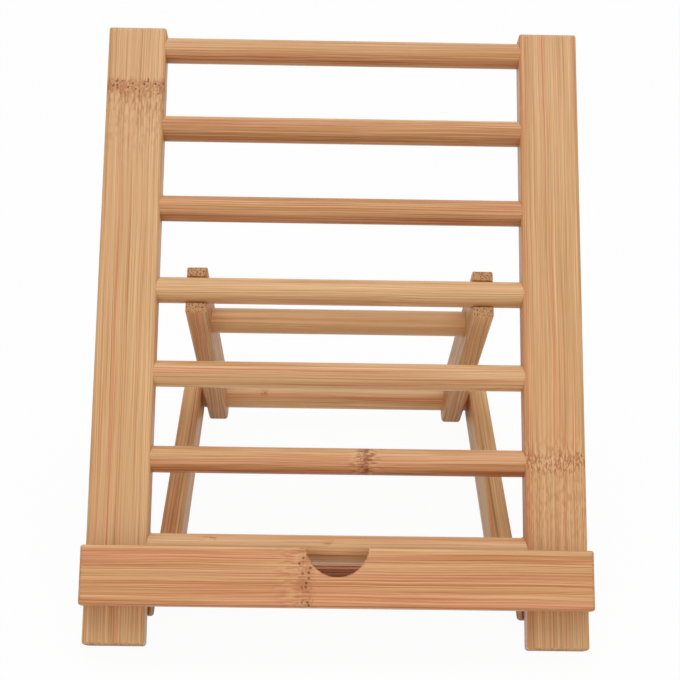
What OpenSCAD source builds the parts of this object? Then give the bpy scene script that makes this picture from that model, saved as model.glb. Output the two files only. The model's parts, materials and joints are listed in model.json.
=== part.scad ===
// Folding bookstand rack in laminated bamboo.
// Three hinged frames: the leaning book frame, the base frame that lies on the table,
// and the prop frame, whose two arms cradle one crossbar of the book frame.
//
// Book frame space: x to the right, y behind the front face of the stiles, z up along them.
// A point seen from the side is written [up, back]: up along the stiles, back behind their faces.

/* [Book frame] */
// Width of the whole stand
overall_w = 240; // [215:1:270]
// Length of the two stiles
stile_len = 312; // [300:1:340]
// Width of a stile, seen from the front
stile_w = 29.5; // [26:0.5:34]
// Thickness of a stile
stile_t = 14; // [13:0.5:17]
// Radius of the stile's softened edges
stile_edge = 2; // [1:0.25:3]

/* [Crossbars] */
// Diameter of the seven round crossbars
bar_d = 13; // [11:0.25:13.5]
// Distance from one crossbar to the next
bar_pitch = 42.5; // [40:0.5:43.5]
// From the top of the stile to the middle of the first crossbar
bar_top = 10; // [9:0.5:13]
// Depth of a crossbar's blind socket in the stile
bar_seat = 8; // [6:0.5:9]

/* [Lip and ledge] */
// Height of the lip
lip_h = 28; // [24:0.5:32]
// Thickness of the lip
lip_t = 8; // [6:0.5:11]
// From the foot of the stile up to the lower edge of the lip
lip_up = 17.5; // [15:0.5:22]
// Radius of the lip's softened edges
lip_edge = 1.5; // [0.5:0.25:2.5]
// Depth of the trough between the stiles and the lip
trough_d = 9.2; // [8:0.2:16]
// Height of the ledge that the book stands on
ledge_h = 10; // [8:0.5:12]
// Radius of the thumb notch in the lip
notch_r = 14.5; // [12:0.25:18]
// Depth of the thumb notch below the lip's upper edge
notch_d = 13.75; // [9:0.25:15]

/* [Hinge blocks and rods] */
// Height of a hinge block
block_h = 39.5; // [37:0.5:43]
// How far a block's middle is below the hinge rod
block_drop = 1.25; // [0:0.25:2]
// Depth of a hinge block behind the stile
block_d = 22; // [21:0.5:28]
// Width of a hinge block
block_w = 18; // [17:0.5:22]
// How far a block stands proud of the stile's inner side
block_proud = 1.2; // [0:0.1:2.5]
// Radius of a block's two rear corners
block_round = 11; // [7:0.5:12]
// Diameter of the two hinge rods
rod_d = 13; // [11:0.25:13.5]
// From the foot of the stile up to the front hinge rod
hinge_up = 36; // [35:0.5:40]
// From the back of the stile to the front hinge rod
hinge_back = 13; // [12.5:0.25:15]
// Depth of the rod's blind bore in a hinge block
hinge_seat = 12; // [8:0.5:13]

/* [Base frame] */
// Between the two hinge rods of a leg
leg_centres = 177.5; // [170:0.5:186]
// Height of a leg
leg_h = 23.5; // [21:0.5:24.5]
// Thickness of a leg
leg_t = 10.5; // [8:0.5:12]
// Gap between a hinge block and the leg beside it
leg_gap = 1.2; // [0.4:0.1:2]

/* [Prop frame] */
// From the rear hinge rod to the cradled crossbar
arm_centres = 157.5; // [152:0.5:166]
// Height of a prop arm
arm_h = 25; // [23:0.5:26]
// Thickness of a prop arm
arm_t = 10.5; // [8:0.5:12]
// How much longer a prop arm's lower end is than a half round about the rod
arm_foot = 2.4; // [0:0.1:3]
// Gap between a leg and the cradle end of the prop arm folded beside it
arm_gap = 0.9; // [0.5:0.1:5]
// How much farther apart each arm's cradle end is than its end on the rear rod
arm_splay = 2.6; // [0:0.1:4]
// From the rear hinge rod to the prop's own crossbar
prop_bar_at = 118.5; // [90:0.5:128]
// Diameter of the prop's own crossbar
prop_bar_d = 13; // [10:0.25:14]
// Depth of that crossbar's blind socket in a prop arm
prop_bar_seat = 6; // [4:0.5:7]
// Radius of the half-round cradle at the end of a prop arm
cradle_r = 7.3; // [7.1:0.1:8]
// How far the cradle's tips reach past the middle of the crossbar
cradle_tip = 1.5; // [0:0.1:2]

/* [Screws] */
// Diameter of a wood screw's shank
screw_d = 3.5; // [3:0.1:4]
// Length of a screw that holds a hinge block
block_screw_len = 26; // [24:0.5:28]
// Distance from the hinge rod to a hinge block's screw, up and down
block_screw_up = 11.25; // [11:0.25:12]
// Length of a screw that holds the ledge
ledge_screw_len = 20; // [17:0.5:21]

/* [Hidden] */
$fn = 64;

// Fits and small shapes
GLUE_GAP = 0.05;      // radial, round a glued rod or a driven screw
RUN_GAP = 0.05;       // radial, round a hinge rod that turns
END_GAP = 0.3;        // at the bottom of a blind socket
REST_GAP = 0.3;       // between the cradled crossbar and the bottom of its cradle
BOARD_EDGE = 1.5;     // softened edges of the legs, prop arms and hinge blocks
LEDGE_EDGE = 0.8;     // softened edges of the ledge
LEDGE_UP = 1;         // the ledge's underside above the lip's lower edge
ROD_CHAMFER = 0.6;    // broken edge at a rod's ends
NOTCH_FLARE = 1;      // rounded rim of the thumb notch
HEAD_D = 7;           // head of a wood screw
HEAD_H = 2.6;         // its cone
TIP_H = 5;            // its point
SLOT_W = 1;           // cross recess in its head
SLOT_D = 1.2;
SINK = 3.5;           // how deep a screw's head lies in the back of a hinge block
SINK_GAP = 0.3;       // round the head, in the counterbore
SCREW_WALL = 1;       // wood left between a screw and a piece that it passes
CRADLE_BAR = 4;       // the crossbar that rests on the prop arms
BIG = 400;

STRAW = [0.86, 0.68, 0.46];
HONEY = [0.80, 0.60, 0.38];
AMBER = [0.72, 0.50, 0.31];
STEEL = [0.62, 0.62, 0.60];

// Across the stand
inner_x = overall_w / 2 - stile_w;
block_x = inner_x - block_proud;
leg_x = block_x - leg_gap;
arm_x = leg_x - leg_t - arm_gap - arm_splay;
arm_tilt = asin(arm_splay / arm_centres);
prop_bar_x = arm_x - arm_t + prop_bar_at * tan(arm_tilt) + prop_bar_seat;
// The block screws pass the ends of the crossbars
screw_x = max(block_x + block_w / 2, inner_x + bar_seat + END_GAP + screw_d / 2 + SCREW_WALL);
ledge_screw_x = max(block_x + block_w + HEAD_D / 2 + SCREW_WALL, overall_w / 2 - stile_w / 4);

// Side view, [up, back]
function bar_up(n) = stile_len - bar_top - (n - 1) * bar_pitch;
front_pivot = [hinge_up, stile_t + hinge_back];
cradled = [bar_up(CRADLE_BAR), stile_t / 2];
block_foot = hinge_up - block_drop - block_h / 2;

// The front rod, the rear rod and the cradled crossbar make a triangle
reach = norm(cradled - front_pivot);
bar_ahead = atan2(front_pivot.y - cradled.y, cradled.x - front_pivot.x);
leg_angle = acos((leg_centres ^ 2 + reach ^ 2 - arm_centres ^ 2)
                 / (2 * leg_centres * reach)) - bar_ahead;
rear_pivot = front_pivot + leg_centres * [cos(leg_angle), sin(leg_angle)];
arm_turn = atan2(rear_pivot.y - cradled.y, cradled.x - rear_pivot.x);
arm_end = rear_pivot - arm_foot * [cos(arm_turn), -sin(arm_turn)];

// Round corners that may touch the table, [up, back, radius]: the feet and the hinge
// blocks in front, the rear ends of the base and of the prop behind
front_corners = [[stile_edge, stile_t - stile_edge, stile_edge],
                 [block_foot + block_round, stile_t + block_d - block_round, block_round]];
rear_corners = [[rear_pivot.x, rear_pivot.y, leg_h / 2], [arm_end.x, arm_end.y, arm_h / 2]];
function floor_angle(a, b) =
    atan2(b.y - a.y, b.x - a.x) + asin((b.z - a.z) / norm([b.x - a.x, b.y - a.y]));
lean = 90 - max([for (b = rear_corners) min([for (a = front_corners) floor_angle(a, b)])]);
function back_of(p) = p.x * sin(lean) + p.y * cos(lean);
function height_of(p) = p.x * cos(lean) - p.y * sin(lean);
floor_z = min([for (b = rear_corners) height_of(b) - b.z]);

lip_face = trough_d + lip_t;
front_end = min(back_of([stile_edge, stile_edge]) - stile_edge,
                back_of([lip_up + lip_edge, lip_edge - lip_face]) - lip_edge);
rear_end = max([back_of([stile_len - stile_edge, stile_t - stile_edge]) + stile_edge,
                for (b = rear_corners) back_of(b) + b.z]);
middle_y = (front_end + rear_end) / 2;

// ---- Spaces of the three frames ----

module book_space() {
    translate([0, -middle_y, -floor_z]) rotate([-lean, 0, 0]) children();
}

// y runs along the legs to the rear, z is up across them
module base_space() {
    book_space()
        translate([0, front_pivot.y, front_pivot.x]) rotate([90 - leg_angle, 0, 0]) children();
}

// z runs up along the prop arms, from the rear rod to the cradle
module prop_space() {
    book_space()
        translate([0, rear_pivot.y, rear_pivot.x]) rotate([arm_turn, 0, 0]) children();
}

// ---- Shapes ----

// Rectangle with round corners, from the origin
module round_rect(size, r) {
    translate([r, 0]) square([size.x - 2 * r, size.y]);
    translate([0, r]) square([size.x, size.y - 2 * r]);
    for (x = [r, size.x - r], y = [r, size.y - r])
        translate([x, y]) circle(r);
}

// Sawn board with every edge softened, from the origin
module board(size, r) {
    intersection() {
        linear_extrude(size.z) round_rect([size.x, size.y], r);
        translate([0, size.y, 0]) rotate([90, 0, 0])
            linear_extrude(size.y) round_rect([size.x, size.z], r);
        rotate([90, 0, 90]) linear_extrude(size.x) round_rect([size.y, size.z], r);
    }
}

// Round end of a board, its axis along x from the origin, with a softened rim
module round_end(r, t, edge) {
    rotate([0, 90, 0]) rotate_extrude() intersection() {
        translate([-r, 0]) round_rect([2 * r, t], edge);
        square([r, t]);
    }
}

// Rod centred on the origin along x, with broken edges at its ends
module rod(d, length) {
    r = d / 2;
    c = ROD_CHAMFER;
    rotate([0, 90, 0]) rotate_extrude()
        polygon([[0, -length / 2], [r - c, -length / 2], [r, c - length / 2],
                 [r, length / 2 - c], [r - c, length / 2], [0, length / 2]]);
}

// Bore along x from x = a to x = b
module bore(d, gap, a, b) {
    translate([a, 0, 0]) rotate([0, 90, 0]) cylinder(r = d / 2 + gap, h = b - a);
}

// Countersunk wood screw, its head at the origin, its point towards -y
module screw(length) {
    rotate([90, 0, 0]) difference() {
        union() {
            cylinder(d1 = HEAD_D, d2 = screw_d, h = HEAD_H);
            cylinder(d = screw_d, h = length - TIP_H);
            translate([0, 0, length - TIP_H]) cylinder(d1 = screw_d, d2 = 0.6, h = TIP_H);
        }
        for (turn = [0, 90])
            rotate([0, 0, turn]) translate([-HEAD_D / 4, -SLOT_W / 2, -1])
                cube([HEAD_D / 2, SLOT_W, SLOT_D + 1]);
    }
}

// Hole that such a screw sits in, with a counterbore behind its head
module screw_hole(length) {
    g = GLUE_GAP;
    rotate([90, 0, 0]) {
        cylinder(d1 = HEAD_D + 2 * g, d2 = screw_d + 2 * g, h = HEAD_H + g);
        cylinder(d = screw_d + 2 * g, h = length + END_GAP);
        translate([0, 0, -BIG]) cylinder(d = HEAD_D + 2 * SINK_GAP, h = BIG);
    }
}

// ---- Places ----

// The left-hand copy of a right-hand piece
module handed(side) {
    mirror([side == "left" ? 1 : 0, 0, 0]) children();
}

module at_block_screws() {
    for (up = [-block_screw_up, block_screw_up])
        translate([screw_x, stile_t + block_d - SINK, hinge_up + up]) children();
}

module at_ledge_screw() {
    translate([ledge_screw_x, stile_t, lip_up + LEDGE_UP + ledge_h / 2]) children();
}

// ---- Book frame ----

module stile(side) {
    color(STRAW) book_space() handed(side) difference() {
        translate([inner_x, 0, 0]) board([stile_w, stile_t, stile_len], stile_edge);
        for (n = [1:7])
            translate([0, stile_t / 2, bar_up(n)])
                bore(bar_d, GLUE_GAP, inner_x - 1, inner_x + bar_seat + END_GAP);
        at_block_screws() screw_hole(block_screw_len);
        at_ledge_screw() screw_hole(ledge_screw_len);
    }
}

module crossbar(n) {
    color(n % 2 == 0 ? HONEY : STRAW) book_space()
        translate([0, stile_t / 2, bar_up(n)]) rod(bar_d, 2 * (inner_x + bar_seat));
}

module ledge() {
    color(HONEY) book_space() difference() {
        translate([-overall_w / 2, -trough_d, lip_up + LEDGE_UP])
            board([overall_w, trough_d, ledge_h], LEDGE_EDGE);
        for (side = ["left", "right"])
            handed(side) at_ledge_screw() screw_hole(ledge_screw_len);
    }
}

module lip() {
    color(AMBER) book_space() difference() {
        translate([-overall_w / 2, -lip_face, lip_up]) board([overall_w, lip_t, lip_h], lip_edge);
        translate([0, -lip_face, lip_up + lip_h - notch_d + notch_r]) thumb_notch();
    }
}

// Cutter for the thumb notch, its axis along y through the lip
module thumb_notch() {
    f = NOTCH_FLARE;
    rotate([-90, 0, 0]) rotate_extrude($fn = 96) difference() {
        translate([0, -1]) square([notch_r + f, lip_t + 2]);
        for (y = [f, lip_t - f])
            translate([notch_r + f, y]) circle(f, $fn = 32);
        translate([notch_r, f]) square([2 * f, lip_t - 2 * f]);
    }
}

module hinge_block(side) {
    color(AMBER) book_space() handed(side) difference() {
        translate([block_x, stile_t, block_foot]) intersection() {
            rotate([90, 0, 90]) linear_extrude(block_w) block_outline();
            translate([0, -BIG + block_d, 0]) board([block_w, BIG, block_h], BOARD_EDGE);
        }
        translate([0, front_pivot.y, front_pivot.x])
            bore(rod_d, RUN_GAP, block_x - 1, block_x + hinge_seat + END_GAP);
        at_block_screws() screw_hole(block_screw_len);
    }
}

// Side view of a hinge block: flat against the stile, with round rear corners
module block_outline() {
    square([block_d - block_round, block_h]);
    translate([0, block_round]) square([block_d, block_h - 2 * block_round]);
    for (up = [block_round, block_h - block_round])
        translate([block_d - block_round, up]) circle(block_round);
}

module hinge_block_screws() {
    color(STEEL) book_space()
        for (side = ["left", "right"])
            handed(side) at_block_screws() screw(block_screw_len);
}

module ledge_screws() {
    color(STEEL) book_space()
        for (side = ["left", "right"])
            handed(side) at_ledge_screw() screw(ledge_screw_len);
}

// ---- Base frame ----

module leg(side) {
    color(HONEY) base_space() handed(side) difference() {
        translate([leg_x - leg_t, 0, 0]) {
            translate([0, 0, -leg_h / 2]) intersection() {
                cube([leg_t, leg_centres, leg_h]);
                translate([0, -leg_h, 0])
                    board([leg_t, leg_centres + 2 * leg_h, leg_h], BOARD_EDGE);
            }
            for (y = [0, leg_centres])
                translate([0, y, 0]) round_end(leg_h / 2, leg_t, BOARD_EDGE);
        }
        for (y = [0, leg_centres])
            translate([0, y, 0]) bore(rod_d, GLUE_GAP, leg_x - leg_t - 1, leg_x + 1);
    }
}

module front_hinge_rod() {
    color(AMBER) base_space() rod(rod_d, 2 * (block_x + hinge_seat));
}

module rear_hinge_rod() {
    color(AMBER) base_space() translate([0, leg_centres, 0]) rod(rod_d, 2 * leg_x);
}

// ---- Prop frame ----

module prop_arm(side) {
    arm_len = arm_foot + arm_centres + cradle_tip;
    color(AMBER) prop_space() handed(side) difference() {
        translate([arm_x - arm_t, 0, 0]) rotate([0, arm_tilt, 0]) {
            translate([0, -arm_h / 2, -arm_foot]) intersection() {
                cube([arm_t, arm_h, arm_len]);
                translate([0, 0, -arm_h]) board([arm_t, arm_h, arm_len + arm_h], BOARD_EDGE);
            }
            translate([0, 0, -arm_foot]) round_end(arm_h / 2, arm_t, BOARD_EDGE);
        }
        bore(rod_d, RUN_GAP, arm_x - arm_t - 1, arm_x + 1);
        translate([0, 0, arm_centres + cradle_r - bar_d / 2 - REST_GAP])
            bore(2 * cradle_r, 0, arm_x - arm_t, arm_x + arm_splay + 1);
        translate([0, 0, prop_bar_at])
            bore(prop_bar_d, GLUE_GAP, arm_x - arm_t - 1, prop_bar_x + END_GAP);
    }
}

module prop_crossbar() {
    color(HONEY) prop_space()
        translate([0, 0, prop_bar_at]) rod(prop_bar_d, 2 * prop_bar_x);
}

stile("left");  // stile_left
stile("right");  // stile_right
crossbar(1);  // crossbar_1
crossbar(2);  // crossbar_2
crossbar(3);  // crossbar_3
crossbar(4);  // crossbar_4
crossbar(5);  // crossbar_5
crossbar(6);  // crossbar_6
crossbar(7);  // crossbar_7
ledge();
lip();
hinge_block("left");  // hinge_block_left
hinge_block("right");  // hinge_block_right
hinge_block_screws();
ledge_screws();
front_hinge_rod();
rear_hinge_rod();
leg("left");  // leg_left
leg("right");  // leg_right
prop_arm("left");  // prop_arm_left
prop_arm("right");  // prop_arm_right
prop_crossbar();
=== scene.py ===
"""Finishes, lights and camera for a folding bookstand rack in laminated bamboo."""

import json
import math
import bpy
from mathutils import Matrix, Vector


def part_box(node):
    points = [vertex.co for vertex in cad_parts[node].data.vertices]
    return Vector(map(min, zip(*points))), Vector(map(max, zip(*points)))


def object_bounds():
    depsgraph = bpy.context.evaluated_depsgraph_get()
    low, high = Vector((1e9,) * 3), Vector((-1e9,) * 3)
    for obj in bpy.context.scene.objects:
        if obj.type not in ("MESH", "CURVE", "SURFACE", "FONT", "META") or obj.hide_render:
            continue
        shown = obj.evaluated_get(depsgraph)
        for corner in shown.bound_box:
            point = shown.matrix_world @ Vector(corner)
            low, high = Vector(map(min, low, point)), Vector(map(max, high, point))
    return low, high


bl_info = {
    "name": "Folding bookstand rack",
    "version": (1, 0, 0),
    "blender": (4, 5, 0),
    "location": "3D View > Sidebar > Bookstand",
    "description": "Dresses the pieces of a folding bamboo bookstand and sets its stage",
    "category": "Object",
}

from dataclasses import dataclass

import bmesh
import bpy
from bpy.props import FloatProperty, FloatVectorProperty, PointerProperty
from bpy.types import Operator, Panel, PropertyGroup
from mathutils import Matrix, Vector

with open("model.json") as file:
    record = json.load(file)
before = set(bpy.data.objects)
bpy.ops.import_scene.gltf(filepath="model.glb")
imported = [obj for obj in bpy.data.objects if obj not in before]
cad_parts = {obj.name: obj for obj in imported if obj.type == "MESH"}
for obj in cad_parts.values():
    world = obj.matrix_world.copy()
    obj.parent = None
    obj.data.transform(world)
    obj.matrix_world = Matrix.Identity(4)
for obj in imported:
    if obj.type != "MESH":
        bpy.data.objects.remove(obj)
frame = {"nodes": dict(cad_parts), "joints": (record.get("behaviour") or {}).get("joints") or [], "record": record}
CAD_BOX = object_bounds()
RIGHT = Vector((1, 0, 0))


# ---- Settings ----


def paint_rgb(red, green, blue):
    """An sRGB colour, 0 to 255, as the linear values that Blender's colours hold."""
    parts = [part / 255 for part in (red, green, blue)]
    return tuple(
        part / 12.92 if part < 0.04045 else ((part + 0.055) / 1.055) ** 2.4
        for part in parts
    )


def colour(name, description, rgb):
    return FloatVectorProperty(
        name=name, description=description, subtype="COLOR", size=3, min=0, max=1, default=rgb
    )


def length(name, description, default):
    return FloatProperty(
        name=name, description=description, unit="LENGTH", precision=5, min=0, default=default
    )


def share(name, description, default):
    return FloatProperty(
        name=name, description=description, subtype="FACTOR", min=0, max=1, default=default
    )


def angle(name, description, degrees):
    return FloatProperty(
        name=name, description=description, subtype="ANGLE", default=math.radians(degrees)
    )


class BambooSettings(PropertyGroup):
    """Colours and grain of the bamboo."""

    pale: colour("Pale", "Palest fibres", paint_rgb(230, 186, 132))
    straw: colour("Straw", "Most of the wood", paint_rgb(211, 162, 110))
    honey: colour("Honey", "Darker fibres", paint_rgb(199, 141, 88))
    umber: colour("Umber", "Darkest streaks", paint_rgb(158, 98, 54))
    rose: colour("Rose", "Reddish strips", paint_rgb(208, 140, 94))
    vein: colour("Vein", "Thin dark lines", paint_rgb(172, 112, 66))
    shade: colour("Shade", "What a dark streak takes from the wood", paint_rgb(203, 176, 144))
    scar: colour("Scar", "Tint round the nodes of the cane", paint_rgb(170, 100, 50))
    speck: colour("Speck", "Dark dots at the nodes of the cane", paint_rgb(96, 32, 0))
    end: colour("End grain", "Sawn ends", paint_rgb(196, 150, 108))
    pore: colour("Pores", "Dots in the sawn ends", paint_rgb(124, 74, 36))

    layer: length("Layer", "Thickness of the glued strips", 0.0066)
    strip: length("Strip", "Width of the glued strips", 0.05)
    wander: length("Wander", "How far the fibres wander to the side", 0.0018)
    patch: length("Patch", "Width of the broad patches of tone", 0.0045)
    blush: length("Blush", "Width of the reddish strips", 0.0042)
    streak: length("Streak", "Width of a streak", 0.0007)
    fibre: length("Fibre", "Width of a single fibre", 0.00035)
    pin: length("Pin stripe", "Distance between the pale pin stripes", 0.0017)
    cell: length("Cell", "Distance between dots at a node", 0.0017)
    bundle: length("Bundle", "Distance between dots in the sawn ends", 0.0009)

    roughness: share("Roughness", "Roughness of the lacquer", 0.45)
    coat: share("Coat", "Strength of the lacquer's clear coat", 0.12)
    gloss: share("Gloss", "Specular level of the lacquer", 0.4)


class SteelSettings(PropertyGroup):
    """Finish of the wood screws."""

    zinc: colour("Zinc", "Zinc plating", paint_rgb(176, 174, 168))
    dull: colour("Dull", "Dull patches of the plating", (0.3, 0.29, 0.27))
    roughness: share("Roughness", "Roughness of the plating", 0.34)
    swirl: length("Swirl", "Size of the marks on a head", 0.00035)


class StageSettings(PropertyGroup):
    """Camera, lamps and floor."""

    distance: length("Distance", "Camera to the point it looks at", 0.79375)
    elevation: angle("Elevation", "Height of the camera above the horizon", 28.45)
    azimuth: angle("Azimuth", "Turn of the camera round the stand", 0.893)
    roll: angle("Roll", "Tilt of the camera about its own axis", 1.253)
    aim: FloatVectorProperty(
        name="Aim",
        description="Point that the camera looks at",
        subtype="TRANSLATION",
        unit="LENGTH",
        default=(0.0003, -0.0131, 0.1168),
    )
    lens: FloatProperty(
        name="Lens",
        description="Focal length in millimetres on a 36 mm sensor",
        unit="CAMERA",
        default=84.72,
    )
    key: FloatProperty(
        name="Key lamp", description="Power of the lamp above", unit="POWER", default=104
    )
    fill: FloatProperty(
        name="Fill lamp", description="Power of the lamp in front", unit="POWER", default=20
    )
    sky: FloatProperty(
        name="Surround", description="Light from the white surroundings", default=0.32
    )
    floor: colour("Floor", "Colour of the floor", paint_rgb(236, 236, 236))


# ---- Shader maths ----


class Wire:
    """An output of a node. Arithmetic on it adds Math nodes."""

    def __init__(self, finish, socket):
        self.finish = finish
        self.socket = socket

    def maths(self, operation, *values):
        return self.finish.node(
            "ShaderNodeMath", {"operation": operation}, dict(enumerate(values))
        )

    def __add__(self, other):
        return self.maths("ADD", self, other)

    def __radd__(self, other):
        return self.maths("ADD", other, self)

    def __sub__(self, other):
        return self.maths("SUBTRACT", self, other)

    def __rsub__(self, other):
        return self.maths("SUBTRACT", other, self)

    def __mul__(self, other):
        return self.maths("MULTIPLY", self, other)

    def __rmul__(self, other):
        return self.maths("MULTIPLY", other, self)

    def __truediv__(self, other):
        return self.maths("DIVIDE", self, other)

    def __rtruediv__(self, other):
        return self.maths("DIVIDE", other, self)

    def __gt__(self, other):
        return self.maths("GREATER_THAN", self, other)

    def __abs__(self):
        return self.maths("ABSOLUTE", self)

    def __floor__(self):
        return self.maths("FLOOR", self)

    def wave(self):
        """A sine with a period of 1."""
        return self.maths("SINE", self * math.tau)

    def ramp(self, low, high):
        """0 at low, 1 at high, smooth between and flat beyond; low may be the larger."""
        return self.finish.node(
            "ShaderNodeMapRange",
            {"interpolation_type": "SMOOTHSTEP"},
            {"Value": self, "From Min": low, "From Max": high},
        )


class Finish:
    """The nodes of a material, or of the world."""

    # Sockets of a Mix node that mixes colours, whose names aren't unique
    MIX_FACTOR, MIX_A, MIX_B, MIX_RESULT = 0, 6, 7, 2

    def __init__(self, owner):
        owner.use_nodes = True
        owner.node_tree.nodes.clear()
        self.owner = owner

    def node(self, kind, settings=None, sockets=None, output=0):
        """Adds a node: first its settings, then the values or links of its sockets."""
        tree = self.owner.node_tree
        made = tree.nodes.new(kind)
        for key, value in (settings or {}).items():
            if key == "stops":
                self.set_stops(made.color_ramp, value)
            else:
                setattr(made, key, value)
        for key, value in (sockets or {}).items():
            if isinstance(value, Wire):
                tree.links.new(value.socket, made.inputs[key])
            else:
                made.inputs[key].default_value = value
        return Wire(self, made.outputs[output]) if made.outputs else None

    @staticmethod
    def set_stops(ramp, stops):
        while len(ramp.elements) < len(stops):
            ramp.elements.new(1)
        for element, (place, tint) in zip(ramp.elements, stops):
            element.position = place
            element.color = (*tint, 1)

    def mix(self, factor, first, second, blend="MIX"):
        """A colour between two, which are wires or linear colours. Blends other than
        MIX take any factor, below 0 too."""
        first, second = (
            tint if isinstance(tint, Wire) else (*tint, 1) for tint in (first, second)
        )
        return self.node(
            "ShaderNodeMix",
            {"data_type": "RGBA", "blend_type": blend, "clamp_factor": blend == "MIX"},
            {self.MIX_FACTOR: factor, self.MIX_A: first, self.MIX_B: second},
            self.MIX_RESULT,
        )

    def spot(self, space="Object"):
        """The point on the surface, or with "Normal" the way that it faces."""
        return self.node("ShaderNodeTexCoord", output=space)

    def vector(self, x, y, z):
        return self.node("ShaderNodeCombineXYZ", None, {"X": x, "Y": y, "Z": z})

    def vector_maths(self, operation, first, second, output="Vector"):
        second_socket = "Scale" if operation == "SCALE" else 1
        return self.node(
            "ShaderNodeVectorMath",
            {"operation": operation},
            {0: first, second_socket: second},
            output,
        )

    def dot(self, vector, axis):
        return self.vector_maths("DOT_PRODUCT", vector, axis, "Value")

    def noise(self, vector, detail=2.0):
        """Smooth noise between 0 and 1, with marks about 1 apart."""
        return self.node(
            "ShaderNodeTexNoise", None, {"Vector": vector, "Scale": 1.0, "Detail": detail}
        )

    def cells(self, vector, output="Distance"):
        """Scattered points about 1 apart: the distance to the nearest, or its "Color"."""
        return self.node(
            "ShaderNodeTexVoronoi", None, {"Vector": vector, "Scale": 1.0}, output
        )

    def random(self, value):
        return self.node(
            "ShaderNodeTexWhiteNoise", {"noise_dimensions": "1D"}, {"W": value}, "Value"
        )

    def bump(self, height, strength, distance):
        return self.node(
            "ShaderNodeBump",
            None,
            {"Strength": strength, "Distance": distance, "Height": height},
        )

    def surface(self, **sockets):
        """Ends the material in a Principled BSDF; an underscore stands for a space."""
        shader = self.node(
            "ShaderNodeBsdfPrincipled",
            None,
            {key.replace("_", " "): value for key, value in sockets.items()},
        )
        self.node("ShaderNodeOutputMaterial", None, {"Surface": shader})
        return self.owner


# ---- Bamboo ----

# Places of the four tones between pale and dark, and where a piece of tone 0 stands
STRAW_AT, HONEY_AT = 0.36, 0.68
MIDDLE_TONE = 0.4

# Strengths of the grain's patterns; a piece's Look raises or lowers some of them
STRIP_CONTRAST = 0.12
ROSE_COVER = 0.9
STREAK_DEPTH = 0.4
FIBRE_DEPTH = 1.1
GRIT_DEPTH = 0.12
PIN_DEPTH = 0.1

# How far the pin stripes bend, in stripes, and how much of a broad stripe's edge is soft
PIN_BEND = 4.0
STRIPE_BLUR = 0.3

# Distances from a dot's middle at which it ends and at which it is full, in cells
PORE_EDGE, PORE_CORE = 0.5, 0.24
DOT_EDGE, DOT_CORE = 0.4, 0.24

# How squarely a face crosses the fibres where it begins to look sawn, and fully does
SAWN_FROM, SAWN_FULL = 0.62, 0.86

# Lengths in metres, along the grain and across it: of the fibres' slow drift, and at a
# node of the cane of its mottled stain, its tongues and its dashes
DRIFT_RUN, DRIFT_WIDTH = 0.07, 0.03
MOTTLE_RUN, MOTTLE_WIDTH = 0.0012, 0.0008
TONGUE_RUN, TONGUE_WIDTH = 0.0045, 0.0009
DASH_RUN, DASH_WIDTH = 0.0018, 0.00055

# Width of the notches in a node's ragged edge, and of the fade at its start and stop
RAGGED_WIDTH = 0.0016
NODE_FADE = 0.001


@dataclass(frozen=True)
class Grain:
    """How a piece is cut from the cane: a point on it, and its three directions."""

    origin: Vector
    along: Vector
    across: Vector
    depth: Vector


@dataclass(frozen=True)
class Node:
    """Scar of a node of the cane, across a piece.

    at is its place along the grain, reach its half height, and start and stop are where
    across the piece it begins and ends. Dark tongues run from it for the length of tail,
    up the grain, or down where tail is below 0. tint, flames, dashes and dots are the
    strength of its stain, its tongues, its short dashes and its dots. burn takes its
    brown towards the colour of the dots. width is how wide the tongues are and cell how
    far apart the dots, both against the usual.
    """

    at: float
    reach: float = 0.003
    start: float = -1.0
    stop: float = 1.0
    tail: float = 0.008
    tint: float = 0.5
    flames: float = 0.35
    dashes: float = 0.0
    dots: float = 0.9
    burn: float = 0.0
    width: float = 1.0
    cell: float = 1.0


@dataclass(frozen=True)
class Stripe:
    """A broad stripe along a piece: its place across it, its half width, and how much
    darker it is, or paler where strength is below 0."""

    at: float
    reach: float
    strength: float


@dataclass(frozen=True)
class Look:
    """What is particular to a piece.

    seed picks its stretch of cane. tone makes it darker, or paler below 0, and rose makes
    more of it reddish. patches, streaks, pins and lines are the strength of its broad
    patches, fine streaks, pin stripes and thin dark lines. slant is how far its fibres
    lean to the side for each metre, and shift moves the seams of its glued layers. shine
    and gloss are its clear coat and its specular level against the usual.
    """

    seed: float
    tone: float = 0.0
    rose: float = 0.2
    patches: float = 0.6
    streaks: float = 1.0
    pins: float = 1.0
    lines: float = 0.3
    slant: float = 0.0
    shift: float = 0.5
    shine: float = 1.0
    gloss: float = 1.0
    stripes: tuple = ()
    nodes: tuple = ()


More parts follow.
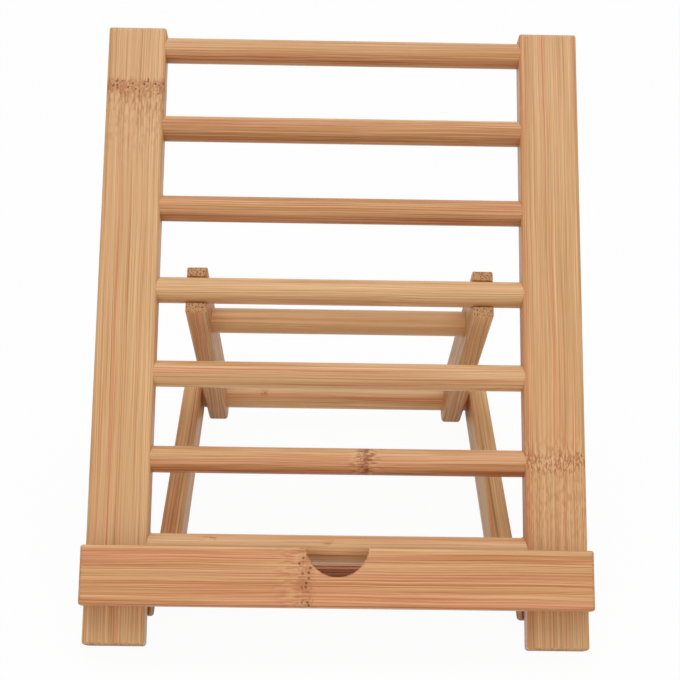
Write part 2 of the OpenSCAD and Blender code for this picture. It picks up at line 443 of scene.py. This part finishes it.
def bamboo(name, grain, look, settings):
    """Laminated bamboo: glued strips, patches, streaks and fibres along the grain, the
    scars of the cane's nodes, and dotted sawn ends, under a clear satin lacquer."""
    finish = Finish(bpy.data.materials.new(name))
    local = finish.vector_maths("SUBTRACT", finish.spot(), grain.origin)
    along, straight, depth = (
        finish.dot(local, axis) for axis in (grain.along, grain.across, grain.depth)
    )
    drift = finish.noise(
        finish.vector(along / DRIFT_RUN, look.seed, straight / DRIFT_WIDTH)
    )
    across = straight + (drift - 0.5) * settings.wander + along * look.slant

    # Each glued strip has its own tone and its own stretch of cane. The odd factors here
    # and in grain_noise only keep one strip's pattern from matching the next
    layer = math.floor(depth / settings.layer + look.shift)
    strip = math.floor(across / settings.strip + layer * 0.37 + 0.5)
    lamella = finish.random(layer * 5.17 + strip * 2.31 + look.seed)

    def grain_noise(width, run, detail=1.0):
        """Noise about 0, drawn out along the grain: width across it, run along it."""
        where = finish.vector(
            across / width + lamella * 31.0,
            depth / width + look.seed,
            along / run + lamella * 17.0,
        )
        return finish.noise(where, detail) - 0.5

    patch = grain_noise(settings.patch, run=0.13, detail=0.0)
    blush = grain_noise(settings.blush, run=0.2, detail=0.0)
    streak = grain_noise(settings.streak, run=0.2)
    fibre = grain_noise(settings.fibre, run=0.08)
    grit = grain_noise(settings.streak, run=0.009)
    vein = grain_noise(settings.streak, run=0.3, detail=0.0).ramp(0.1, 0.25)
    bend = grain_noise(settings.patch, run=0.3)
    pins = (across / settings.pin + bend * PIN_BEND).wave()

    # Patches, strips and stripes change the colour; some stripes are painted shade and painted highlights
    tone = MIDDLE_TONE + look.tone + patch * look.patches + (lamella - 0.5) * STRIP_CONTRAST
    for stripe in look.stripes:
        edge = abs(across - stripe.at).ramp(
            stripe.reach * (1 + STRIPE_BLUR), stripe.reach * (1 - STRIPE_BLUR)
        )
        tone += edge * stripe.strength
    stops = [
        (0.0, settings.pale),
        (STRAW_AT, settings.straw),
        (HONEY_AT, settings.honey),
        (1.0, settings.umber),
    ]
    wood = finish.node("ShaderNodeValToRGB", {"stops": stops}, {"Fac": tone}, "Color")
    reddish = (blush * 2.0 + look.rose).ramp(0.0, 1.0)
    wood = finish.mix(reddish * ROSE_COVER, wood, settings.rose)
    wood = finish.mix(vein * look.lines, wood, settings.vein)

    # Streaks, fibres and pin stripes change only how light it is
    fine = streak * (look.streaks * STREAK_DEPTH) + fibre * FIBRE_DEPTH + grit * GRIT_DEPTH
    fine = fine + pins * (blush + 0.5) * (look.pins * PIN_DEPTH)
    wood = finish.mix(fine, wood, settings.shade, "SUBTRACT")

    for scar in look.nodes:
        wood = node_scar(finish, scar, look.seed, settings, (along, across, depth), wood)

    # Sawn ends show the fibres from the end, as dots
    sawn = abs(finish.dot(finish.spot("Normal"), grain.along)).ramp(SAWN_FROM, SAWN_FULL)
    bundles = finish.cells(
        finish.vector(across / settings.bundle, depth / settings.bundle, lamella * 9.0)
    )
    pores = bundles.ramp(PORE_EDGE, PORE_CORE)
    wood = finish.mix(sawn, wood, finish.mix(pores, settings.end, settings.pore))

    height = fibre * 0.5 + streak * 0.6 - vein * 0.2 - pores * sawn
    return finish.surface(
        Base_Color=wood,
        Roughness=settings.roughness + fibre * 0.3 + sawn * 0.2,
        Specular_IOR_Level=settings.gloss * look.gloss,
        Coat_Weight=settings.coat * look.shine * (1.0 - sawn),
        Coat_Roughness=0.25,
        Normal=finish.bump(height, strength=0.08, distance=0.00015),
    )


def node_scar(finish, scar, seed, settings, place, wood):
    """Marks a node of the cane: its stain, dark tongues and dashes, and dots."""
    along, across, depth = place
    brown = Vector(settings.scar).lerp(Vector(settings.speck), scar.burn)
    ragged = finish.noise(finish.vector(across / RAGGED_WIDTH, seed, scar.at * 99))
    off = along - scar.at + (ragged - 0.5) * (2.0 * scar.reach)
    shown = across.ramp(scar.start - NODE_FADE, scar.start + NODE_FADE)
    shown = shown * across.ramp(scar.stop + NODE_FADE, scar.stop - NODE_FADE)
    near = abs(off).ramp(scar.reach * 1.5, scar.reach * 0.6) * shown

    mottle = finish.noise(
        finish.vector(across / MOTTLE_WIDTH, depth / MOTTLE_WIDTH, along / MOTTLE_RUN + seed),
        detail=1.0,
    )
    stain = near * (mottle - 0.5).ramp(-0.3, 0.2)
    wood = finish.mix(stain * scar.tint, wood, brown)

    def marks(wood, width, run, zone, full, paler):
        """Dark marks in a zone, width wide and run long, and paler ones between them;
        full is how far the noise rises to the darkest."""
        fleck = finish.noise(
            finish.vector(across / width, depth / width + seed, along / run), detail=1.0
        ) - 0.5
        wood = finish.mix(fleck.ramp(0.0, full) * zone, wood, brown)
        return finish.mix(fleck.ramp(-0.02, -0.14) * zone * paler, wood, settings.pale)

    # Pointed tongues run from the node along the grain, and short dashes stay near it
    run = off * math.copysign(1.0, scar.tail)
    end = abs(scar.tail)
    zone = run.ramp(-1.2 * scar.reach, 0.4 * scar.reach) * run.ramp(end, end * 0.2) * shown
    width = TONGUE_WIDTH * scar.width
    wood = marks(wood, width, TONGUE_RUN, zone * scar.flames, full=0.14, paler=0.5)
    wood = marks(wood, DASH_WIDTH, DASH_RUN, near * scar.dashes, full=0.12, paler=0.8)

    # Small faint dots, and larger dark ones; spared is the share of cells without one
    for size, strength, spared in ((0.6, 0.45, 0.6), (1.0, 1.0, 0.5)):
        cell = settings.cell * scar.cell * size
        where = finish.vector(across / cell + seed, depth / cell, along / cell + size)
        chance = finish.node(
            "ShaderNodeSeparateColor", None, {"Color": finish.cells(where, "Color")}
        )
        dots = finish.cells(where).ramp(DOT_EDGE, DOT_CORE) * near * (chance > spared)
        wood = finish.mix(dots * (scar.dots * strength), wood, settings.speck)
    return wood


# ---- Directions of the three frames, from the packed model ----


def mount_axis(name):
    return Vector(next(m for m in frame["record"]["mounts"] if m["name"] == name)["axis"])


def pivot(name):
    return Vector(next(j for j in frame["joints"] if j["name"] == name)["pos_m"])


def middle(node):
    low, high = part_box(node)
    return (low + high) / 2


def board_grain(node, along):
    """Grain of a board that runs along a direction in the side view."""
    return Grain(middle(node), along, RIGHT, along.cross(RIGHT))


def stile_grain(node):
    """Grain up along the book frame."""
    return board_grain(node, mount_axis("ledge_top"))


def leg_grain(node):
    """Grain along the base frame, from its front hinge to its rear one."""
    return board_grain(node, (pivot("prop_swing") - pivot("frame_tilt")).normalized())


def arm_grain(node):
    """Grain along the prop frame, from its hinge to the crossbar in its cradles."""
    return board_grain(node, (middle("crossbar_4") - pivot("prop_swing")).normalized())


def cross_grain(node):
    """Grain of a piece that runs across the stand: its front faces as the book does."""
    return Grain(middle(node), RIGHT, mount_axis("ledge_top"), -mount_axis("book_rest"))


# ---- Finishes on the pieces ----


def wear(name, material):
    """Gives a CAD node its finish."""
    slots = frame["nodes"][name].data.materials
    slots.clear()
    slots.append(material)


def dress(context, looks, grain_of):
    """Gives each piece named in looks its bamboo, cut as grain_of says."""
    for name, look in looks.items():
        wear(name, bamboo(name, grain_of(name), look, context.scene.bamboo))


def painted_top_shading(strength):
    """Soft painted shading along the top of a crossbar: a painted highlight where strength is below 0, painted
    shade where it is above.
    """
    return Stripe(at=0.009, reach=0.005, strength=strength)


def painted_underside_shading(strength):
    """Soft painted shading along the underside of a crossbar: painted shade where strength is above 0, painted
    light where it is below.
    """
    return Stripe(at=-0.009, reach=0.005, strength=strength)


def dull_look(**particulars):
    """The look of a board with a thin, dull lacquer."""
    return Look(patches=0.3, shine=0.0, gloss=0.25, **particulars)


class BOOKSTAND_OT_stiles(Operator):
    """Finish the two stiles"""

    bl_idname = "bookstand.stiles"
    bl_label = "Stiles"

    LOOKS = {
        "stile_left": Look(
            seed=3.1, tone=0.0, rose=0.12, patches=0.25, slant=0.006, shift=0.46,
            stripes=(Stripe(at=-0.0008, reach=0.0016, strength=0.14),),
            nodes=(
                Node(at=0.123, reach=0.0038, tail=-0.024, tint=0.85, flames=0.6, cell=1.15),
                Node(
                    at=0.119, reach=0.001, tail=-0.045, tint=0.0, flames=0.3, dots=0.0,
                    width=1.4,
                ),
            ),
        ),
        "stile_right": Look(
            seed=8.4, tone=0.0, rose=0.2, patches=0.12, streaks=0.3, pins=0.6, lines=0.12,
            slant=0.004, shift=0.46,
            stripes=(Stripe(at=-0.0128, reach=0.0012, strength=0.2),),
            nodes=(
                Node(
                    at=-0.0672, reach=0.0042, tail=0.018, tint=0.15, flames=0.6,
                    dashes=0.8, dots=0.3,
                ),
                Node(
                    at=-0.071, reach=0.001, tail=-0.06, tint=0.0, flames=0.4, dots=0.0,
                    width=0.5,
                ),
            ),
        ),
    }

    def execute(self, context):
        dress(context, self.LOOKS, stile_grain)
        return {"FINISHED"}


class BOOKSTAND_OT_crossbars(Operator):
    """Finish the seven crossbars and the prop's crossbar"""

    bl_idname = "bookstand.crossbars"
    bl_label = "Crossbars"

    # The edge stripes on the crossbars are painted shading: lighter or darker tops and undersides stand in for how
    # the light falls on the round bars.
    LOOKS = {
        "crossbar_1": Look(
            seed=1.7, tone=0.16, rose=-0.1, patches=0.3, streaks=0.7, lines=0.1,
            stripes=(painted_top_shading(-0.3), painted_underside_shading(0.22)),
        ),
        "crossbar_2": Look(
            seed=2.9, tone=0.27, rose=0.02, patches=0.3, streaks=0.6, lines=0.1,
            stripes=(painted_top_shading(-0.55), painted_underside_shading(0.14)),
        ),
        "crossbar_3": Look(
            seed=4.2, tone=0.26, rose=0.26, patches=0.3, streaks=0.6, lines=0.1,
            stripes=(painted_underside_shading(0.2),),
        ),
        "crossbar_4": Look(
            seed=5.6, tone=-0.15, rose=0.0, patches=0.15, streaks=0.6, lines=0.1,
            stripes=(painted_underside_shading(0.26),),
        ),
        "crossbar_5": Look(
            seed=6.3, tone=-0.12, rose=0.32, patches=0.3, streaks=0.8,
            stripes=(painted_underside_shading(-0.25),),
        ),
        "crossbar_6": Look(
            seed=7.8, tone=0.12, rose=0.34, patches=0.3,
            stripes=(painted_underside_shading(0.3),),
            nodes=(
                Node(
                    at=0.0135, reach=0.0012, tail=0.01, tint=1.0, flames=1.0, burn=0.45,
                    width=0.8, cell=0.6,
                ),
                Node(
                    at=0.0115, reach=0.002, tail=-0.009, tint=0.6, flames=0.9, burn=0.2,
                    cell=0.5,
                ),
            ),
        ),
        "crossbar_7": Look(
            seed=9.1, tone=-0.1, rose=0.2, patches=0.4, streaks=0.6, lines=0.1,
            nodes=(
                Node(
                    at=-0.0596, reach=0.0016, start=0.0034, stop=0.0048, tail=-0.01,
                    tint=0.5, flames=0.8, dots=0.0, burn=0.2, width=0.8,
                ),
                Node(
                    at=-0.0045, reach=0.002, start=0.0014, stop=0.0032, tail=0.003,
                    tint=0.7, flames=0.5, dots=0.0,
                ),
            ),
        ),
        # The prop crossbar's pale tone is partly painted light, making up for the light the book frame keeps from
        # it.
        "prop_crossbar": Look(
            seed=10.4, tone=-0.3, rose=0.1, patches=0.2, streaks=0.3, pins=0.4, lines=0.0
        ),
    }

    def execute(self, context):
        dress(context, self.LOOKS, cross_grain)
        return {"FINISHED"}


class BOOKSTAND_OT_lip(Operator):
    """Finish the lip and the ledge behind it"""

    bl_idname = "bookstand.lip"
    bl_label = "Lip and ledge"

    LOOKS = {
        "lip": Look(
            seed=12.9, tone=0.23, rose=0.52, patches=0.16, lines=0.4,
            # The pale stripe along the lip's top edge is a painted highlight.
            stripes=(Stripe(at=0.0165, reach=0.004, strength=-0.35),),
            nodes=(
                Node(
                    at=-0.0145, reach=0.0032, tail=-0.02, tint=0.45, flames=0.5, dots=0.75,
                    cell=1.3,
                ),
            ),
        ),
        "ledge": Look(seed=13.9, tone=0.08, rose=0.2),
    }

    def execute(self, context):
        dress(context, self.LOOKS, cross_grain)
        return {"FINISHED"}


class BOOKSTAND_OT_hinges(Operator):
    """Finish the hinge blocks and the two hinge rods"""

    bl_idname = "bookstand.hinges"
    bl_label = "Hinge blocks and rods"

    BLOCKS = {
        # The blocks' dark tone is painted shade: they sit in shade behind the lip and beside the stiles' feet.
        "hinge_block_left": Look(seed=15.2, tone=0.5, rose=0.2, shine=0.0, gloss=0.2),
        "hinge_block_right": Look(seed=16.8, tone=0.5, rose=0.2, shine=0.0, gloss=0.2),
    }
    RODS = {
        # The front rod's dark tone is painted shade of the notch behind the lip, and the pale stripe along its top
        # is a painted highlight.
        "front_hinge_rod": Look(
            seed=18.5, tone=0.65, rose=0.3, streaks=0.5, lines=0.0, shine=7.0, gloss=0.4,
            stripes=(Stripe(at=0.0056, reach=0.0012, strength=-2.6),),
        ),
        "rear_hinge_rod": Look(
            seed=19.7, tone=-0.3, rose=0.3, patches=0.3, streaks=0.5, lines=0.1,
            nodes=(
                Node(
                    at=-0.0417, reach=0.0018, start=-0.001, stop=0.003, tail=-0.006,
                    tint=0.6, flames=0.6, dots=0.4, cell=0.8,
                ),
            ),
        ),
    }

    def execute(self, context):
        dress(context, self.BLOCKS, stile_grain)
        dress(context, self.RODS, cross_grain)
        return {"FINISHED"}


class BOOKSTAND_OT_legs(Operator):
    """Finish the two legs of the base frame"""

    bl_idname = "bookstand.legs"
    bl_label = "Legs"

    LOOKS = {
        "leg_left": dull_look(seed=21.3, tone=-0.22, rose=0.32),
        "leg_right": dull_look(seed=22.6, tone=-0.48, rose=0.2),
    }

    def execute(self, context):
        dress(context, self.LOOKS, leg_grain)
        return {"FINISHED"}


class BOOKSTAND_OT_prop_arms(Operator):
    """Finish the two prop arms"""

    bl_idname = "bookstand.prop_arms"
    bl_label = "Prop arms"

    LOOKS = {
        "prop_arm_left": dull_look(seed=24.1, tone=-0.13, rose=0.38),
        "prop_arm_right": dull_look(seed=25.7, tone=-0.18, rose=0.34),
    }

    def execute(self, context):
        dress(context, self.LOOKS, arm_grain)
        return {"FINISHED"}


class BOOKSTAND_OT_screws(Operator):
    """Finish the wood screws"""

    bl_idname = "bookstand.screws"
    bl_label = "Wood screws"

    def execute(self, context):
        steel = context.scene.steel
        finish = Finish(bpy.data.materials.new("zinc_plated_steel"))
        swirl = finish.noise(finish.vector_maths("SCALE", finish.spot(), 1 / steel.swirl))
        plating = finish.mix((swirl - 0.4).ramp(0.0, 0.5) * 0.35, steel.zinc, steel.dull)
        material = finish.surface(
            Base_Color=plating,
            Metallic=1.0,
            Roughness=steel.roughness + swirl * 0.2,
            Normal=finish.bump(swirl, strength=0.2, distance=0.0001),
        )
        for name in ("hinge_block_screws", "ledge_screws"):
            wear(name, material)
        return {"FINISHED"}


# ---- Stage ----


class BOOKSTAND_OT_stage(Operator):
    """Set the floor, the white surroundings, the lamps and the camera"""

    bl_idname = "bookstand.stage"
    bl_label = "Stage"

    # In metres: from the floor's middle to its edges, and from the stand down to it
    FLOOR_REACH = 4.0
    FLOOR_GAP = 0.0003
    # How much of the floor the camera sees as white
    FLOOR_WHITE = 0.96
    # Where the two square lamps hang, and their sides, in metres
    KEY_PLACE, KEY_SIDE = Vector((0.1, -0.2, 4.1)), 4.0
    FILL_PLACE, FILL_SIDE = Vector((-0.2, -2.4, 0.9)), 3.0
    # Width of the camera's sensor, in millimetres
    SENSOR = 36

    def execute(self, context):
        scene, stage = context.scene, context.scene.stage
        self.lay_floor(scene, stage)
        self.surround(scene, stage)
        self.hang_lamp(scene, "key_lamp", stage.key, self.KEY_PLACE, self.KEY_SIDE)
        self.hang_lamp(scene, "fill_lamp", stage.fill, self.FILL_PLACE, self.FILL_SIDE)
        self.place_camera(scene, stage)
        scene.view_settings.view_transform = "Standard"
        return {"FINISHED"}

    @staticmethod
    def seen_directly(finish):
        """1 for the rays that see a white background, 0 for those that light."""
        rays = [
            finish.node("ShaderNodeLightPath", output=ray)
            for ray in ("Is Camera Ray", "Is Glossy Ray", "Is Transmission Ray")
        ]
        return (rays[0] + rays[1] + rays[2]).ramp(0.0, 1.0)

    def lay_floor(self, scene, stage):
        mesh = bpy.data.meshes.new("floor")
        shape = bmesh.new()
        bmesh.ops.create_grid(shape, x_segments=1, y_segments=1, size=self.FLOOR_REACH)
        shape.to_mesh(mesh)
        shape.free()
        floor = bpy.data.objects.new("floor", mesh)
        floor.location.z = CAD_BOX[0].z - self.FLOOR_GAP
        scene.collection.objects.link(floor)
        finish = Finish(bpy.data.materials.new("pale_floor"))
        matt = finish.node("ShaderNodeBsdfDiffuse", None, {"Color": (*stage.floor, 1)})
        glow = finish.node("ShaderNodeEmission", None, {"Strength": 1.0})
        white = self.seen_directly(finish) * self.FLOOR_WHITE
        mixed = finish.node("ShaderNodeMixShader", None, {"Fac": white, 1: matt, 2: glow})
        finish.node("ShaderNodeOutputMaterial", None, {"Surface": mixed})
        mesh.materials.append(finish.owner)

    def surround(self, scene, stage):
        finish = Finish(bpy.data.worlds.new("white_surround"))
        strength = stage.sky + (1 - stage.sky) * self.seen_directly(finish)
        light = finish.node(
            "ShaderNodeBackground", None, {"Color": (1, 1, 1, 1), "Strength": strength}
        )
        finish.node("ShaderNodeOutputWorld", None, {"Surface": light})
        scene.world = finish.owner

    @staticmethod
    def hang_lamp(scene, name, power, place, side):
        """Hangs a square lamp that faces the point the camera looks at."""
        lamp = bpy.data.lights.new(name, "AREA")
        lamp.energy = power
        lamp.size = side
        holder = bpy.data.objects.new(name, lamp)
        holder.location = place
        facing = Vector(scene.stage.aim) - place
        holder.rotation_euler = facing.to_track_quat("-Z", "Y").to_euler()
        scene.collection.objects.link(holder)

    def place_camera(self, scene, stage):
        camera = bpy.data.cameras.new("camera")
        camera.lens = stage.lens
        camera.sensor_width = self.SENSOR
        camera.dof.use_dof = False
        holder = bpy.data.objects.new("camera", camera)
        look = Vector((
            math.sin(stage.azimuth) * math.cos(stage.elevation),
            math.cos(stage.azimuth) * math.cos(stage.elevation),
            -math.sin(stage.elevation),
        ))
        turn = look.to_track_quat("-Z", "Y").to_matrix() @ Matrix.Rotation(stage.roll, 3, "Z")
        holder.matrix_world = turn.to_4x4()
        holder.location = Vector(stage.aim) - look * stage.distance
        scene.collection.objects.link(holder)
        scene.camera = holder


# ---- Panel and registration ----


class BOOKSTAND_PT_panel(Panel):
    """The bookstand's pieces, finishes and stage"""

    bl_idname = "BOOKSTAND_PT_panel"
    bl_label = "Bookstand"
    bl_space_type = "VIEW_3D"
    bl_region_type = "UI"
    bl_category = "Bookstand"

    def draw(self, context):
        for name, cls in SETTINGS.items():
            box = self.layout.box()
            box.label(text=cls.__doc__)
            for key in cls.__annotations__:
                box.prop(getattr(context.scene, name), key)
        for operator in OPERATORS:
            self.layout.operator(operator.bl_idname)


SETTINGS = {"bamboo": BambooSettings, "steel": SteelSettings, "stage": StageSettings}
OPERATORS = (
    BOOKSTAND_OT_stiles,
    BOOKSTAND_OT_crossbars,
    BOOKSTAND_OT_lip,
    BOOKSTAND_OT_hinges,
    BOOKSTAND_OT_legs,
    BOOKSTAND_OT_prop_arms,
    BOOKSTAND_OT_screws,
    BOOKSTAND_OT_stage,
)
CLASSES = (*SETTINGS.values(), *OPERATORS, BOOKSTAND_PT_panel)


def register():
    for cls in CLASSES:
        bpy.utils.register_class(cls)
    for name, cls in SETTINGS.items():
        setattr(bpy.types.Scene, name, PointerProperty(type=cls))


def unregister():
    for name in SETTINGS:
        delattr(bpy.types.Scene, name)
    for cls in reversed(CLASSES):
        bpy.utils.unregister_class(cls)


def main():
    register()
    for operator in OPERATORS:
        group, name = operator.bl_idname.split(".")
        getattr(getattr(bpy.ops, group), name)()


if __name__ == "__main__":
    main()
